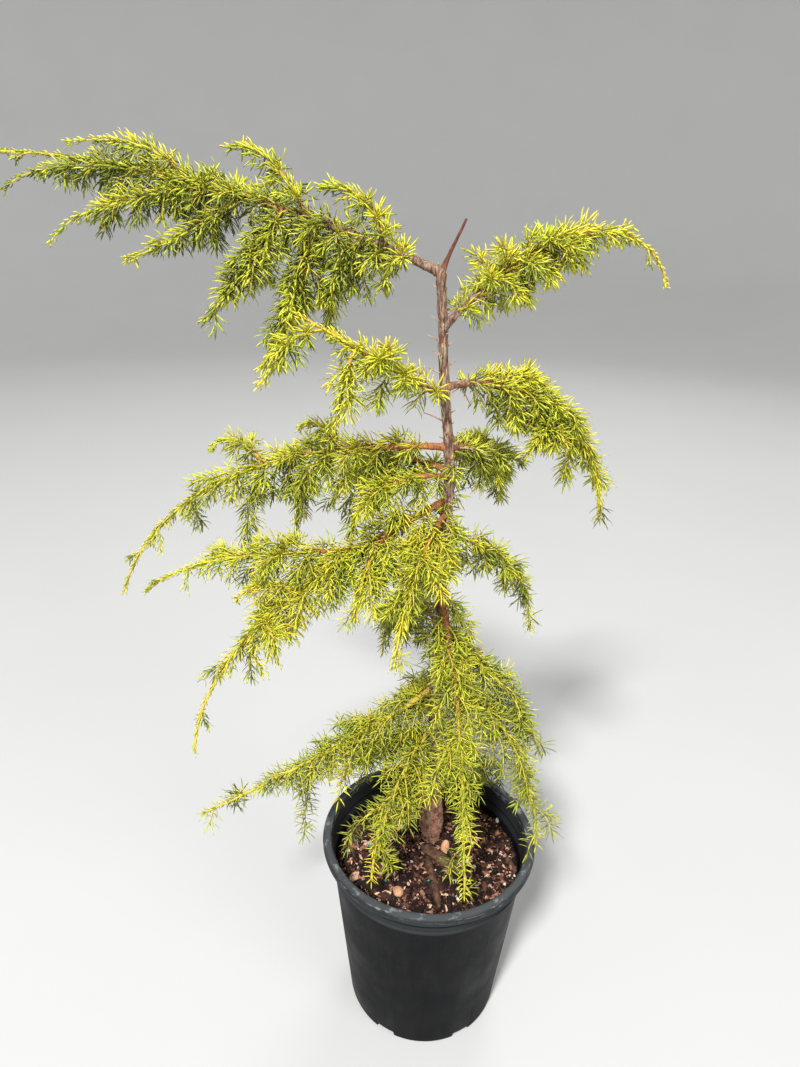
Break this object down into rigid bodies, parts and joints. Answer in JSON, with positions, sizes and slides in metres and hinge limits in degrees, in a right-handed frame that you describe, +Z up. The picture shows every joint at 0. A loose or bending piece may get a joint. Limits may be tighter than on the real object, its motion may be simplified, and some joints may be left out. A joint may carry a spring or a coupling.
{
  "type": "potted golden weeping juniper",
  "caption": "Young golden weeping juniper on one upright stem, with drooping needle-clad boughs, growing in a round black nursery pot.",
  "frame": {"origin": "middle of the pot's flat underside", "axes": "+Z up the stem, +X towards the short boughs, -X towards the long boughs, -Y the front of the plant"},
  "size_m": [0.471, 0.2063, 0.6516],
  "materials": {
    "pot": "satin black moulded plastic",
    "potting_mix": "coarse bark and pumice",
    "bark": "thin flaking bark",
    "foliage": "waxy needles"
  },
  "bodies": {
    "root": {"pot": "pot", "soil": "potting_mix", "trunk": "bark", "bough_back_left": "bark", "bough_back_low": "bark", "bough_back_low_left": "bark", "bough_back_low_right": "bark", "bough_back_middle": "bark", "bough_back_right": "bark", "bough_front": "bark", "bough_front_left": "bark", "bough_inner_left": "bark", "bough_low_front_left": "bark", "bough_low_left": "bark", "bough_low_right": "bark", "bough_low_right_front": "bark", "bough_lower_left": "bark", "bough_lower_left_side": "bark", "bough_lower_left_skirt": "bark", "bough_lower_right": "bark", "bough_mid_left": "bark", "bough_mid_right": "bark", "bough_right": "bark", "bough_top_left": "bark", "bough_top_left_drop": "bark", "bough_top_left_fan": "bark", "bough_top_left_hang": "bark", "bough_top_left_rise": "bark", "bough_top_left_skirt": "bark", "bough_top_right": "bark", "bough_upper_left": "bark", "foliage_back_left": "foliage", "foliage_back_low": "foliage", "foliage_back_low_left": "foliage", "foliage_back_low_right": "foliage", "foliage_back_middle": "foliage", "foliage_back_right": "foliage", "foliage_front": "foliage", "foliage_front_left": "foliage", "foliage_inner_left": "foliage", "foliage_low_front_left": "foliage", "foliage_low_left": "foliage", "foliage_low_right": "foliage", "foliage_low_right_front": "foliage", "foliage_lower_left": "foliage", "foliage_lower_left_side": "foliage", "foliage_lower_left_skirt": "foliage", "foliage_lower_right": "foliage", "foliage_mid_left": "foliage", "foliage_mid_right": "foliage", "foliage_right": "foliage", "foliage_top_left": "foliage", "foliage_top_left_drop": "foliage", "foliage_top_left_fan": "foliage", "foliage_top_left_hang": "foliage", "foliage_top_left_rise": "foliage", "foliage_top_left_skirt": "foliage", "foliage_top_right": "foliage", "foliage_upper_left": "foliage"}
  },
  "joints": []
}
